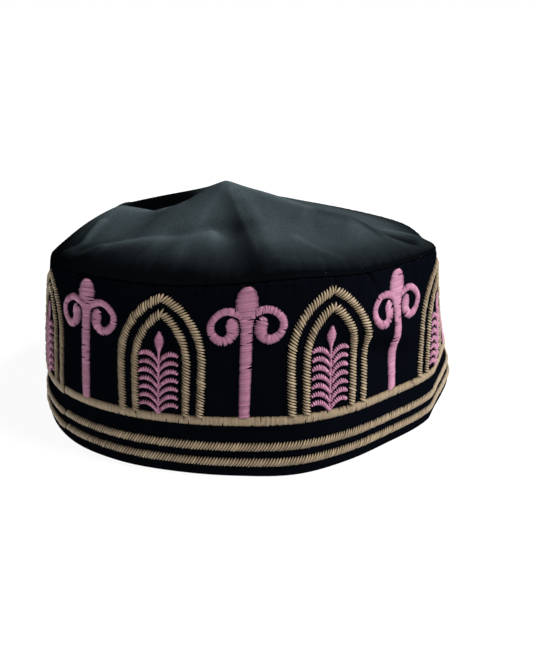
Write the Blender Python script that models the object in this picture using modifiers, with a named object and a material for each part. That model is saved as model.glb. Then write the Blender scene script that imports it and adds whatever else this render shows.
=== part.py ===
"""A soft prayer cap set down by hand: an oval side band and a cloth crown sunk into folds.

The frame has its origin on the floor below the middle of the cap. +X runs along the longer way
of the oval, which lies front to back on a head, and the crown's main folds hang towards -Y.
Sizes in the tables and constants are millimetres, and angles are degrees, measured from the
side that faces -Y and positive towards +X.
"""
import math
from typing import NamedTuple

import bmesh
import bpy
from mathutils import Vector

MM = 0.001

BAND_WALL = 2.2
CROWN_CLOTH = 1.4
SEAM_GAP = 0.3

# The band stands upright at its rim, bows out a little and leans in to the seam.
RIM_UPRIGHT = 3.2
BAND_BOW = 0.9
BAND_LEVELS = (0.0, 3.0, 10.0, 19.0, 28.0, 36.0, 42.0, 47.0, 52.0, 58.0, 66.0, 74.0)

# The hand that set it down has folded the band's front: it stands out above a slanting line and
# is pushed in below it. Lengths run along the rim from the front.
FOLD_PLACE = 10.0
FOLD_LENGTH = 18.0
FOLD_HEIGHT = 49.0
FOLD_SLANT = 0.32
FOLD_OUT = 3.0
FOLD_IN = 2.2
FOLD_SHARP = 4.0
FOLD_FADE = 16.0
FRONT_REACH = 84.0

# The band is creased upright at one corner, which stands out of its smooth outline.
CORNER_ANGLE = 35.0
CORNER_OUT = 2.0
CORNER_SPREAD = 9.0
CORNER_ROUNDING = 1.5
CORNER_AT_SEAM = 0.5

# The crown leaves the seam upright, turns over in a small hem, then over a shoulder, and lies
# almost level. Where its cloth is slack the hem is lower and the folds start further in.
HEM_UPRIGHT = 1.1
HEM = 2.2
HEM_TURN = 6.0
HEM_SLACK = 9.0
CENTRE_HEIGHT = 80.0
CREST_ROUNDING = 2.5
CREST_SOFTNESS = 1.2
CREST_START = 5.0
CREST_SLACK = 0.21
SLACK_SHOULDER = 20.0

COLUMNS = 96
CROWN_RINGS = 16
SHOULDER_CROWDING = 1.6


class Section(NamedTuple):
    """The side of the cap at one angle."""

    angle: float
    rim: float          # reach of the outside on the floor
    seam: float         # reach of the outside at the seam
    height: float       # height of the seam
    shoulder: float     # how far in from the seam the crown turns level


SECTIONS = (
    Section(-170, 84.2, 79.0, 71.0, 18),
    Section(-150, 87.6, 81.0, 70.0, 20),
    Section(-130, 93.0, 83.5, 69.0, 26),
    Section(-110, 97.6, 86.5, 67.6, 50),
    Section(-92, 99.0, 91.2, 68.6, 60),
    Section(-75, 97.9, 91.0, 70.6, 34),
    Section(-60, 93.4, 86.3, 71.0, 22),
    Section(-45, 88.5, 81.4, 71.2, 20),
    Section(-30, 86.0, 80.4, 73.4, 13),
    Section(-15, 85.8, 81.0, 75.6, 9),
    Section(0, 83.2, 80.0, 74.8, 9),
    Section(15, 82.0, 78.2, 74.6, 8),
    Section(30, 84.3, 79.6, 75.0, 8),
    Section(42, 86.0, 78.4, 73.2, 16),
    Section(52, 89.6, 76.0, 70.6, 34),
    Section(62, 94.4, 75.4, 69.0, 60),
    Section(75, 97.6, 77.8, 68.2, 76),
    Section(90, 99.0, 81.8, 67.8, 84),
    Section(110, 96.6, 84.0, 67.6, 70),
    Section(130, 93.0, 83.0, 69.0, 44),
    Section(150, 87.6, 81.0, 71.0, 24),
    Section(170, 84.2, 79.0, 71.8, 18),
)


class Ridge(NamedTuple):
    """A line that the crown's cloth hangs from, and how fast it falls away on either side."""

    name: str
    line: tuple
    left: float         # fall for each millimetre, left of the way along the line
    right: float


PEAK = (-21.4, -12.3, 96.4)
RIDGES = (
    Ridge("right crest", (PEAK, (4.0, -33.7, 89.6), (18.0, -45.5, 86.9), (40.0, -64.0, 76.4)), 0.8, 0.34),
    Ridge("left crest", (PEAK, (-37.1, -9.5, 89.7), (-50.1, -5.0, 86.0), (-61.0, 5.5, 87.4)), 0.30, 0.7),
    Ridge("back ridge", (PEAK, (-53.8, 29.4, 84.2)), 1.0, 0.35),
    Ridge("left shoulder", ((-85.0, -22.0, 76.8), (-76.5, -27.4, 79.9), (-68.0, -31.0, 81.4),
                            (-56.9, -37.8, 83.4), (-48.6, -41.1, 84.7), (-40.0, -42.8, 86.2)), 0.4, 0.62),
)


def around(angle, column):
    """Size of one column at any angle, on a smooth curve through the rows."""
    rows = len(SECTIONS)
    turned = (angle - SECTIONS[0].angle) % 360 + SECTIONS[0].angle
    after = next((i for i, row in enumerate(SECTIONS) if row.angle > turned), rows)
    knots = []
    for step in (-2, -1, 0, 1):
        turns, i = divmod(after + step, rows)
        knots.append((SECTIONS[i].angle + 360 * turns, getattr(SECTIONS[i], column)))
    (a0, v0), (a1, v1), (a2, v2), (a3, v3) = knots
    width = a2 - a1
    share = (turned - a1) / width
    leave = (v2 - v0) / (a2 - a0) * width
    arrive = (v3 - v1) / (a3 - a1) * width
    bend = share * share * (3 - 2 * share)
    return (v1 + (v2 - v1) * bend
            + leave * share * (1 - share) ** 2
            - arrive * share * share * (1 - share))


def corner(angle):
    """How far the creased corner stands out at the rim."""
    away = (angle - CORNER_ANGLE + 180) % 360 - 180
    rounded = math.hypot(away, CORNER_ROUNDING) - CORNER_ROUNDING
    return CORNER_OUT * math.exp(-rounded / CORNER_SPREAD)


def seam_reach(angle):
    return around(angle, "seam") + CORNER_AT_SEAM * corner(angle)


def at(angle, reach, height):
    turn = math.radians(angle)
    return Vector((reach * math.sin(turn), -reach * math.cos(turn), height)) * MM


def band_fold(angle, height):
    """How far the band stands out, above and below the slanting line of its fold."""
    length = math.radians((angle + 180) % 360 - 180) * FRONT_REACH - FOLD_PLACE
    above = height - FOLD_HEIGHT + FOLD_SLANT * length
    strength = (FOLD_OUT if above > 0 else FOLD_IN) * math.exp(-(length / FOLD_LENGTH) ** 2)
    return strength * math.tanh(above / FOLD_SHARP) * math.exp(-(above / FOLD_FADE) ** 2)


def band_point(angle, level):
    """Outer face of the band, with the level counted up the seam's own height."""
    top = around(angle, "height")
    height = top * level
    lean = max(0.0, height - RIM_UPRIGHT) / (top - RIM_UPRIGHT)
    rim = around(angle, "rim") + corner(angle)
    bow = BAND_BOW + band_fold(angle, height)
    reach = rim + (seam_reach(angle) - rim) * lean + bow * math.sin(math.pi * lean)
    return at(angle, reach, height)


def hanging_height(ridge, x, y):
    """Height of the cloth where it hangs from one ridge alone."""
    heights = []
    for start, end in zip(ridge.line, ridge.line[1:]):
        run = math.hypot(end[0] - start[0], end[1] - start[1])
        along_x = (end[0] - start[0]) / run
        along_y = (end[1] - start[1]) / run
        east = x - start[0]
        north = y - start[1]
        share = min(1.0, max(0.0, (east * along_x + north * along_y) / run))
        away = math.hypot(east - along_x * run * share, north - along_y * run * share)
        leftness = (north * along_x - east * along_y) / math.hypot(away, 1.0)
        fall = ridge.left * (0.5 + 0.5 * leftness) + ridge.right * (0.5 - 0.5 * leftness)
        drop = fall * (math.hypot(away, CREST_ROUNDING) - CREST_ROUNDING)
        heights.append(start[2] + (end[2] - start[2]) * share - drop)
    return max(heights)


def soft_maximum(heights):
    top = max(heights)
    return top + CREST_SOFTNESS * math.log(sum(math.exp((h - top) / CREST_SOFTNESS) for h in heights))


def crown_point(angle, inward):
    """Outer face of the crown, at a distance in from the seam above its short upright edge."""
    seam = seam_reach(angle)
    reach = seam - inward
    turn = math.radians(angle)
    shoulder = around(angle, "shoulder")
    foot = around(angle, "height") + SEAM_GAP + HEM_UPRIGHT
    hem = HEM * min(1.0, HEM_SLACK / shoulder)
    turned = math.sqrt(1 - (1 - min(1.0, inward / HEM_TURN)) ** 2)
    rise = math.tanh(inward / shoulder) / math.tanh(seam / shoulder)
    plain = foot + hem * turned + (CENTRE_HEIGHT - foot - hem) * rise
    hung = [hanging_height(ridge, reach * math.sin(turn), -reach * math.cos(turn)) for ridge in RIDGES]
    folded = soft_maximum([plain] + hung)
    start = CREST_START + CREST_SLACK * max(0.0, shoulder - SLACK_SHOULDER)
    return at(angle, reach, plain + (folded - plain) * math.tanh(inward / start))


def edge_point(angle):
    """Lower edge of the crown, just above the band."""
    return at(angle, seam_reach(angle), around(angle, "height") + SEAM_GAP)


def spun_sheet(line, place):
    """An open sheet: a line of (reach, level) points spun once round, then each point placed."""
    sheet = bmesh.new()
    rail = [sheet.verts.new((0.0, -reach, level)) for reach, level in line]
    edges = [sheet.edges.new(pair) for pair in zip(rail, rail[1:])]
    bmesh.ops.spin(sheet, geom=rail + edges, cent=(0, 0, 0), axis=(0, 0, 1),
                   angle=math.tau, steps=COLUMNS, use_merge=True)
    bmesh.ops.remove_doubles(sheet, verts=sheet.verts, dist=1e-6)
    for vertex in sheet.verts:
        x, y, level = vertex.co
        vertex.co = place(math.degrees(math.atan2(x, -y)), math.hypot(x, y), level)
    return sheet


def band_sheet():
    """The band's outer face, from an upright line."""
    line = [(1.0, level / BAND_LEVELS[-1]) for level in reversed(BAND_LEVELS)]
    return spun_sheet(line, lambda angle, reach, level: band_point(angle, level))


def crown_sheet():
    """The crown's outer face: a line up its edge and in to the middle, crowded at the seam."""
    shares = [1.0 - (step / CROWN_RINGS) ** SHOULDER_CROWDING for step in range(CROWN_RINGS + 1)]
    line = [(1.0, 0.0)] + [(share, 1.0) for share in shares]

    def place(angle, share, level):
        if level < 0.5:
            return edge_point(angle)
        return crown_point(angle, max(0.0, 1.0 - share) * seam_reach(angle))

    return spun_sheet(line, place)


def cloth_piece(name, sheet, thickness, material, collection):
    """An object whose cloth is thickened inward from its outer face."""
    bmesh.ops.recalc_face_normals(sheet, faces=sheet.faces)
    if sum(face.normal.dot(face.calc_center_median()) for face in sheet.faces) < 0:
        bmesh.ops.reverse_faces(sheet, faces=sheet.faces)
    mesh = bpy.data.meshes.new(name)
    sheet.to_mesh(mesh)
    sheet.free()
    mesh.shade_smooth()
    mesh.materials.append(material)
    piece = bpy.data.objects.new(name, mesh)
    collection.objects.link(piece)
    wall = piece.modifiers.new("wall", "SOLIDIFY")
    wall.thickness = thickness * MM
    wall.offset = -1.0
    return piece


def cloth(name, colour, roughness):
    material = bpy.data.materials.new(name)
    material.use_nodes = True
    shader = material.node_tree.nodes["Principled BSDF"]
    shader.inputs["Base Color"].default_value = (*colour, 1.0)
    shader.inputs["Roughness"].default_value = roughness
    shader.inputs["Metallic"].default_value = 0.0
    return material


def main():
    for old in list(bpy.data.objects):
        bpy.data.objects.remove(old, do_unlink=True)
    cap = bpy.data.collections.new("prayer cap")
    bpy.context.scene.collection.children.link(cap)
    cloth_piece("band", band_sheet(), BAND_WALL, cloth("band cotton", (0.010, 0.010, 0.014), 0.85), cap)
    cloth_piece("crown", crown_sheet(), CROWN_CLOTH, cloth("crown cotton", (0.022, 0.025, 0.026), 0.9), cap)


main()
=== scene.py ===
# %% [markdown]
# # A black prayer cap with an embroidered band
#
# The cap stands on a table as somebody has just put it down: a stiff oval band with its embroidery,
# and a thin cloth crown that has sunk into soft folds. A plain model of the two is already made and
# weighed, and it is loaded here as the frame. Everything below is laid over that frame, so no size
# is measured twice.

import bmesh
import bpy
import numpy as np
from mathutils import Matrix, Vector


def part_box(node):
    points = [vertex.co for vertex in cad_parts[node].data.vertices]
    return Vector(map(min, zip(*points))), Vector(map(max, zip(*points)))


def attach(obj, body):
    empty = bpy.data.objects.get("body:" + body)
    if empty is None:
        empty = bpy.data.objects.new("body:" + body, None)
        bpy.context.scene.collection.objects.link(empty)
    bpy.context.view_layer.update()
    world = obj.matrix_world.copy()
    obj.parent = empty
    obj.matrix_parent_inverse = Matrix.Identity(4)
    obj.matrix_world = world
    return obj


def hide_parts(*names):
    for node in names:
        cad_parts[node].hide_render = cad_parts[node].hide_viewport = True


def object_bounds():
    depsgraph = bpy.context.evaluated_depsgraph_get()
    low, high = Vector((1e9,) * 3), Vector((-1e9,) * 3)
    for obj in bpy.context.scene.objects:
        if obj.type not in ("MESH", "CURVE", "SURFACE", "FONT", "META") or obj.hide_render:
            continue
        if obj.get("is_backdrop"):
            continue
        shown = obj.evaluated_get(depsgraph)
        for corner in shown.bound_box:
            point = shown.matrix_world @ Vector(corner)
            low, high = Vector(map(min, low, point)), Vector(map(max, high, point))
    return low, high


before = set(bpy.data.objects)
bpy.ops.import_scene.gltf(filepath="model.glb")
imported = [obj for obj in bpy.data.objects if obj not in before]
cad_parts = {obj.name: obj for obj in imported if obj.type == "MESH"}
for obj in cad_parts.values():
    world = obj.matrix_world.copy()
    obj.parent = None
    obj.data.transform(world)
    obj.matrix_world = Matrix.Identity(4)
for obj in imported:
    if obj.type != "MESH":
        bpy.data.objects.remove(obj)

cad_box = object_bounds()
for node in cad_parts:
    low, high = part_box(node)
    print(node, "is", [round((b - a) * 1000, 1) for a, b in zip(low, high)], "mm")

# %% [markdown]
# ## The shape that both cloths follow
#
# A real cap is cut from flat cloth round an oval, and the hand that set it down pushed it out of
# true. One short table holds that: at each angle round the cap, how far out the rim and the seam
# are, how high the seam is, and how wide the shoulder is where the crown turns level. A smooth
# closed curve through the rows gives every angle between them. The same table made the plain model,
# so the fine cloth lands on it.

# %% Measures of the cap
MM = 0.001

# angle from the front in degrees, then millimetres: rim reach, seam reach, seam height, shoulder
SECTIONS = np.array((
    (-170, 84.2, 79.0, 71.0, 18),
    (-150, 87.6, 81.0, 70.0, 20),
    (-130, 93.0, 83.5, 69.0, 26),
    (-110, 97.6, 86.5, 67.6, 50),
    (-92, 99.0, 91.2, 68.6, 60),
    (-75, 97.9, 91.0, 70.6, 34),
    (-60, 93.4, 86.3, 71.0, 22),
    (-45, 88.5, 81.4, 71.2, 20),
    (-30, 86.0, 80.4, 73.4, 13),
    (-15, 85.8, 81.0, 75.6, 9),
    (0, 83.2, 80.0, 74.8, 9),
    (15, 82.0, 78.2, 74.6, 8),
    (30, 84.3, 79.6, 75.0, 8),
    (42, 86.0, 78.4, 73.2, 16),
    (52, 89.6, 76.0, 70.6, 34),
    (62, 94.4, 75.4, 69.0, 60),
    (75, 97.6, 77.8, 68.2, 76),
    (90, 99.0, 81.8, 67.8, 84),
    (110, 96.6, 84.0, 67.6, 70),
    (130, 93.0, 83.0, 69.0, 44),
    (150, 87.6, 81.0, 71.0, 24),
    (170, 84.2, 79.0, 71.8, 18),
))
RIM, SEAM, HEIGHT, SHOULDER = 1, 2, 3, 4

BAND_WALL = 2.2
CROWN_CLOTH = 1.4
SEAM_GAP = 0.3
RIM_UPRIGHT = 3.2
BAND_BOW = 0.9

# the creased corner right of the front: where it is, how far it stands out and how it fades away
CORNER_ANGLE = 35.0
CORNER_OUT = 2.0
CORNER_SPREAD = 9.0
CORNER_ROUNDING = 1.5
CORNER_AT_SEAM = 0.5


def around(angle, column):
    """One column of the table at any angles, on a smooth closed curve through its rows."""
    knots = SECTIONS[:, 0]
    values = SECTIONS[:, column]
    knots = np.concatenate((knots[-1:] - 360, knots, knots[:2] + 360))
    values = np.concatenate((values[-1:], values, values[:2]))
    turned = (np.asarray(angle, float) - knots[1]) % 360 + knots[1]
    i = np.clip(np.searchsorted(knots, turned, side="right") - 1, 1, len(SECTIONS))
    width = knots[i + 1] - knots[i]
    share = (turned - knots[i]) / width
    leave = (values[i + 1] - values[i - 1]) / (knots[i + 1] - knots[i - 1]) * width
    arrive = (values[i + 2] - values[i]) / (knots[i + 2] - knots[i]) * width
    bend = share ** 2 * (3 - 2 * share)
    return (values[i] + (values[i + 1] - values[i]) * bend
            + leave * share * (1 - share) ** 2 - arrive * share ** 2 * (1 - share))


def corner(angle):
    """How far the creased corner stands out at the rim."""
    away = (np.asarray(angle, float) - CORNER_ANGLE + 180) % 360 - 180
    return CORNER_OUT * np.exp(-(np.hypot(away, CORNER_ROUNDING) - CORNER_ROUNDING) / CORNER_SPREAD)


def seam_reach(angle):
    """How far out the seam is, at any angles."""
    return around(angle, SEAM) + CORNER_AT_SEAM * corner(angle)


def placed(angle, reach, height):
    """Points in millimetres from angles, reaches and heights."""
    turn = np.radians(angle)
    return np.stack(np.broadcast_arrays(reach * np.sin(turn), -reach * np.cos(turn), height), axis=-1)


print("the seam is", SECTIONS[:, HEIGHT].min(), "to", SECTIONS[:, HEIGHT].max(), "mm above the table")

# %% [markdown]
# The embroidery is laid out along the rim, as a machine does it on the flat strip before the strip
# is sewn into a ring. So the next helper turns a length along the rim into an angle.

# %% Lengths along the rim
TURN = np.linspace(-180, 180, 2881)
rim_line = placed(TURN, around(TURN, RIM) + corner(TURN), 0.0)
RIM_LENGTHS = np.concatenate(([0.0], np.cumsum(np.linalg.norm(np.diff(rim_line, axis=0), axis=1))))
PERIMETER = RIM_LENGTHS[-1]
RIM_LENGTHS = RIM_LENGTHS - np.interp(0.0, TURN, RIM_LENGTHS)


def angle_at(length):
    """Angle round the cap at a length along the rim, counted from the front."""
    wrapped = (np.asarray(length, float) - RIM_LENGTHS[0]) % PERIMETER + RIM_LENGTHS[0]
    return np.interp(wrapped, RIM_LENGTHS, TURN)


def length_at(angle):
    """Length along the rim at an angle."""
    return np.interp((np.asarray(angle, float) + 180) % 360 - 180, TURN, RIM_LENGTHS)


print("the rim measures", round(PERIMETER, 1), "mm around")

# %% [markdown]
# ## The band
#
# The band is a strip of cotton over a stiff lining, so it stands by itself. Close to the seam the
# sewing has drawn the cloth into small puckers, and two of them are deep enough to see from afar.
# They could be sculpted by hand. Here each one is a bell curve along the rim that fades away down
# the band, because a formula also tells the embroidery where the cloth lies.

# %% Puckers and creases of the band
# length along the rim, how far below the seam it reaches, how wide, how deep, how far it leans
PUCKERS = (
    (6.0, 9.0, 1.2, 0.95, 0.60),
    (-1.5, 8.0, 2.0, 0.30, 0.15),
    (-9.5, 7.0, 1.8, 0.20, 0.10),
    (30.5, 9.0, 1.6, 0.45, 0.10),
    (36.5, 8.0, 1.5, 0.35, 0.10),
    (42.0, 7.0, 1.4, 0.30, 0.05),
    (-112.0, 14.0, 1.5, 0.85, -0.30),
    (-99.0, 10.0, 2.2, 0.35, -0.05),
)

# a slanting fold in the band, which stands out above its line and is pushed in below it
FOLD_PLACE = 10.0
FOLD_LENGTH = 18.0
FOLD_HEIGHT = 49.0
FOLD_SLANT = 0.32
FOLD_OUT = 3.0
FOLD_IN = 2.2
FOLD_SHARP = 4.0
FOLD_FADE = 16.0

RIPPLE_EVERY = 5.2
RIPPLE_DEPTH = 0.10
RIPPLE_FADE = 6.0
# the waves that make up the ripple: length and depth against those above, and where it starts
WAVES = ((1.0, 1.0, 0.0), (0.618, 0.8, 1.3), (1.9, 0.6, 0.4))


def seam_ripple(length, away):
    """Small gathers along the seam, out of step with one another, fading away from it."""
    turn = length * 2 * np.pi / RIPPLE_EVERY
    wave = sum(deep * np.sin(turn / long + start) for long, deep, start in WAVES)
    return RIPPLE_DEPTH * wave * np.exp(-away / RIPPLE_FADE)


def band_dents(length, below):
    """How far the band's outside is pushed in, below the seam at a length along the rim."""
    depth = seam_ripple(length, below)
    for at, reach, width, deep, lean in PUCKERS:
        off = (length - at - lean * below + PERIMETER / 2) % PERIMETER - PERIMETER / 2
        depth = depth + deep * np.exp(-(off / width) ** 2 - (below / reach) ** 2)
    return depth


def band_fold(length, height):
    """How far the band stands out where the hand has folded it, above and below a slanting line."""
    above = height - (FOLD_HEIGHT - FOLD_SLANT * (length - FOLD_PLACE))
    strength = np.where(above > 0, FOLD_OUT, FOLD_IN) * np.tanh(above / FOLD_SHARP)
    return strength * np.exp(-((length - FOLD_PLACE) / FOLD_LENGTH) ** 2 - (above / FOLD_FADE) ** 2)


def band_outside(angle, height):
    """Reach of the band's outer face."""
    top = around(angle, HEIGHT)
    lean = np.maximum(0.0, height - RIM_UPRIGHT) / (top - RIM_UPRIGHT)
    rim = around(angle, RIM) + corner(angle)
    reach = rim + (seam_reach(angle) - rim) * lean + BAND_BOW * np.sin(np.pi * lean)
    length = length_at(angle)
    return reach - band_dents(length, top - height) + band_fold(length, height) * np.sin(np.pi * lean)


print("the band has", len(PUCKERS), "puckers, the deepest", max(row[3] for row in PUCKERS), "mm deep")

# %% [markdown]
# The mesh is a ring of sections. Each section runs up the outside, turns in over the top in a small
# round fold, goes down the inside and turns under at the rim, so the cloth has its true thickness
# and no sharp edge anywhere.

# %% Build the band
BAND_COLUMNS = 720
BAND_ROWS = 52
INSIDE_ROWS = 17
TOP_CROWDING = 1.5
EDGE_ROUND = 0.75
EDGE_STEPS = 5


def added(name, data):
    """A new object in the scene, at the origin."""
    thing = bpy.data.objects.new(name, data)
    bpy.context.scene.collection.objects.link(thing)
    return thing


def ring_mesh(name, rows, closed_section):
    """A mesh from rows of points, each row a closed ring round the cap."""
    count, columns, _ = rows.shape
    index = np.arange(count * columns).reshape(count, columns)
    lower = index if closed_section else index[:-1]
    upper = np.roll(index, -1, axis=0) if closed_section else index[1:]
    corners = (lower, np.roll(lower, -1, axis=1), np.roll(upper, -1, axis=1), upper)
    quads = np.stack(corners, axis=-1).reshape(-1, 4)
    mesh = bpy.data.meshes.new(name)
    mesh.from_pydata((rows.reshape(-1, 3) * MM).tolist(), [], quads.tolist())
    mesh.shade_smooth()
    return added(name, mesh)


def band_section():
    """(inset, share of the height, millimetres added to the height) round the band's section."""
    quarter = np.linspace(0, np.pi / 2, EDGE_STEPS)
    turned_in = EDGE_ROUND * (1 - np.cos(quarter))
    lowered = EDGE_ROUND * (1 - np.sin(quarter))
    edge = list(zip(turned_in, lowered))
    rows_up = 1 - (1 - np.linspace(0, 1, BAND_ROWS)) ** TOP_CROWDING
    rows_down = np.linspace(1, 0, INSIDE_ROWS)[1:]
    section = [(0.0, share, EDGE_ROUND * (1 - 2 * share)) for share in rows_up]
    section += [(inset, 1.0, -drop) for inset, drop in edge[1:]]
    section += [(BAND_WALL - inset, 1.0, -drop) for inset, drop in edge[::-1]]
    section += [(BAND_WALL, share, EDGE_ROUND * (1 - 2 * share)) for share in rows_down]
    section += [(BAND_WALL - inset, 0.0, drop) for inset, drop in edge[1:]]
    section += [(inset, 0.0, drop) for inset, drop in edge[:0:-1]]
    return section


band_angles = np.arange(BAND_COLUMNS) * 360 / BAND_COLUMNS - 180
band_rows = []
for inset, share, extra in band_section():
    height = around(band_angles, HEIGHT) * share + extra
    band_rows.append(placed(band_angles, band_outside(band_angles, height) - inset, height))
band = ring_mesh("embroidered_band", np.array(band_rows), closed_section=True)
print("band:", len(band.data.polygons), "faces")

# %% [markdown]
# ## The crown
#
# The crown is soft, thin cotton, wider than the space it has, so it stands up in one peak and hangs
# in planes from a few ridges, like a tent with four poles lying at odd angles. That is how it is
# made here: each ridge is a line in space with a slope on either side, and the cloth is the highest
# of the slopes and of a plain low dome, with the changes from one to the next smoothed. A cloth
# simulation would give other folds each time, and these are wanted just where they are.

# %% Ridges of the crown
HEM_UPRIGHT = 1.1
HEM = 2.2
HEM_TURN = 6.0
HEM_SLACK = 9.0
CENTRE_HEIGHT = 80.0
CREST_ROUNDING = 2.5
FOLD_SOFTNESS = 1.2
FOLD_START = 5.0
FOLD_SLACK = 0.21
SLACK_SHOULDER = 20.0

PEAK = (-21.4, -12.3, 96.4)
# the ridge's line, then how fast the cloth falls away on its left and on its right
RIDGES = (
    ((PEAK, (4.0, -33.7, 89.6), (18.0, -45.5, 86.9), (40.0, -64.0, 76.4)), 0.8, 0.34),
    ((PEAK, (-37.1, -9.5, 89.7), (-50.1, -5.0, 86.0), (-61.0, 5.5, 87.4)), 0.30, 0.7),
    ((PEAK, (-53.8, 29.4, 84.2)), 1.0, 0.35),
    (((-85.0, -22.0, 76.8), (-76.5, -27.4, 79.9), (-68.0, -31.0, 81.4), (-56.9, -37.8, 83.4),
      (-48.6, -41.1, 84.7), (-40.0, -42.8, 86.2)), 0.4, 0.62),
)

# small creases: the line on the plan, how far it lifts the cloth, how wide it is on its left and right
CREASES = (
    (((-88.6, -11.0), (-85.6, -15.6), (-81.6, -16.0), (-78.0, -11.0), (-72.0, -4.0)), 0.9, 2.0, 2.0),
    (((-90.0, -14.0), (-85.0, -21.5), (-77.0, -27.0)), 0.7, 2.4, 2.4),
    (((24.0, -40.0), (29.5, -47.0), (32.0, -57.0), (35.0, -65.0)), -1.3, 2.6, 2.6),
    (((-56.0, 27.0), (-47.0, 10.5), (-39.0, -3.0)), -1.8, 5.0, 5.0),
    (((-18.0, -32.0), (-20.5, -48.0), (-24.0, -60.0), (-26.0, -71.0)), 1.9, 20.0, 6.0),
    (((36.0, -47.0), (45.0, -58.0)), 0.5, 2.5, 2.5),
    (((-12.0, -60.0), (-4.0, -74.0)), 0.4, 3.0, 3.0),
    (((-50.0, -40.5), (-41.0, -42.5), (-33.0, -43.0)), -1.3, 7.0, 7.0),
)
PULL_EVERY = 16.0
PULL_DEPTH = 0.03
PULL_FADE = 15.0
# the waves that make up the pulls: length against PULL_EVERY, and where it starts
PULLS = ((1.0, 0.0), (0.62, 2.0))
SMALL_FOLDS_START = 2.0


def beside_line(line, x, y):
    """Distance on the plan from a line of points, and how far to its left: 1 is left, -1 is right."""
    nearest = np.full(np.shape(x), np.inf)
    leftness = np.zeros(np.shape(x))
    for (x1, y1), (x2, y2) in zip(line, line[1:]):
        run = np.hypot(x2 - x1, y2 - y1)
        share = np.clip(((x - x1) * (x2 - x1) + (y - y1) * (y2 - y1)) / run ** 2, 0, 1)
        away = np.hypot(x - x1 - (x2 - x1) * share, y - y1 - (y2 - y1) * share)
        side = ((x2 - x1) * (y - y1) - (y2 - y1) * (x - x1)) / run / np.maximum(away, 0.01)
        leftness = np.where(away < nearest, side, leftness)
        nearest = np.minimum(nearest, away)
    return nearest, leftness


def small_folds(angle, x, y, inward):
    """Creases, and the broad pulls that the gathered seam sends into the cloth."""
    turn = length_at(angle) * 2 * np.pi / PULL_EVERY
    pulls = sum(np.sin(turn / long + start) for long, start in PULLS)
    lift = PULL_DEPTH * np.exp(-inward / PULL_FADE) * pulls
    for line, high, left, right in CREASES:
        away, leftness = beside_line(line, x, y)
        wide = right + (left - right) * (0.5 + 0.5 * leftness)
        lift = lift + high * np.exp(-(away / wide) ** 2)
    return lift * np.tanh(inward / SMALL_FOLDS_START)


def hanging_height(line, left, right, x, y):
    """Height of the cloth where it hangs from one ridge alone."""
    highest = np.full(np.shape(x), -np.inf)
    for start, end in zip(line, line[1:]):
        run = np.hypot(end[0] - start[0], end[1] - start[1])
        along_x = (end[0] - start[0]) / run
        along_y = (end[1] - start[1]) / run
        east = x - start[0]
        north = y - start[1]
        share = np.clip((east * along_x + north * along_y) / run, 0.0, 1.0)
        away = np.hypot(east - along_x * run * share, north - along_y * run * share)
        leftness = (north * along_x - east * along_y) / np.hypot(away, 1.0)
        fall = left * (0.5 + 0.5 * leftness) + right * (0.5 - 0.5 * leftness)
        drop = fall * (np.hypot(away, CREST_ROUNDING) - CREST_ROUNDING)
        highest = np.maximum(highest, start[2] + (end[2] - start[2]) * share - drop)
    return highest


def crown_height(angle, reach, inward):
    """Height of the crown's outer face above the table."""
    seam = reach + inward
    x = reach * np.sin(np.radians(angle))
    y = -reach * np.cos(np.radians(angle))
    shoulder = around(angle, SHOULDER)
    foot = around(angle, HEIGHT) + SEAM_GAP + HEM_UPRIGHT
    left = 1 - np.clip(inward / HEM_TURN, 0, 1)
    hem = HEM * np.minimum(1, HEM_SLACK / shoulder)
    turned = hem * np.sqrt(np.maximum(1 - left ** 2, 0))
    rise = np.tanh(inward / shoulder) / np.tanh(seam / shoulder)
    plain = foot + turned + (CENTRE_HEIGHT - foot - hem) * rise
    layers = np.stack([plain] + [hanging_height(*ridge, x, y) for ridge in RIDGES])
    top = layers.max(axis=0)
    folded = top + FOLD_SOFTNESS * np.log(np.exp((layers - top) / FOLD_SOFTNESS).sum(axis=0))
    start = FOLD_START + FOLD_SLACK * np.maximum(shoulder - SLACK_SHOULDER, 0)
    return plain + (folded - plain) * np.tanh(inward / start) + small_folds(angle, x, y, inward)


print("the crown hangs from", len(RIDGES), "ridges, and its peak is", PEAK[2], "mm up")

# %% [markdown]
# The mesh is a sheet spun round the middle: a short upright hem above the seam, then rings that are
# closer together near the shoulder, where the cloth bends most. The last ring is fanned to a point,
# so no hole is left, and the sheet gets its thickness from Solidify at the end.

# %% Build the crown
CROWN_COLUMNS = 432
CROWN_RINGS = 84
HEM_RINGS = 3
SHOULDER_CROWDING = 1.35
EDGE_INSET = 0.15
TURN_INSET = 1.0
RIPPLE_SHIFT = 2.0
RIPPLE_SINK = 0.5

crown_angles = np.arange(CROWN_COLUMNS) * 360 / CROWN_COLUMNS - 180
crown_seam = seam_reach(crown_angles)
crown_lengths = length_at(crown_angles) + RIPPLE_SHIFT
crown_rows = []
for lift in np.linspace(0, HEM_UPRIGHT, HEM_RINGS, endpoint=False):
    inset = EDGE_INSET + (TURN_INSET - EDGE_INSET) * (lift / HEM_UPRIGHT) ** 2
    reach = crown_seam - inset - seam_ripple(crown_lengths, lift)
    crown_rows.append(placed(crown_angles, reach, around(crown_angles, HEIGHT) + SEAM_GAP + lift))
for ring in range(CROWN_RINGS):
    share = 1 - (ring / CROWN_RINGS) ** SHOULDER_CROWDING
    reach = crown_seam * share
    inward = crown_seam - reach
    ripple = seam_ripple(crown_lengths, inward + HEM_UPRIGHT)
    height = crown_height(crown_angles, reach, inward) - RIPPLE_SINK * ripple
    crown_rows.append(placed(crown_angles, reach - TURN_INSET * share - ripple, height))
crown_rows = np.array(crown_rows)
crown = ring_mesh("crown_cloth", crown_rows, closed_section=False)
print("crown:", len(crown_rows), "rings of", CROWN_COLUMNS, "points")


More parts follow.
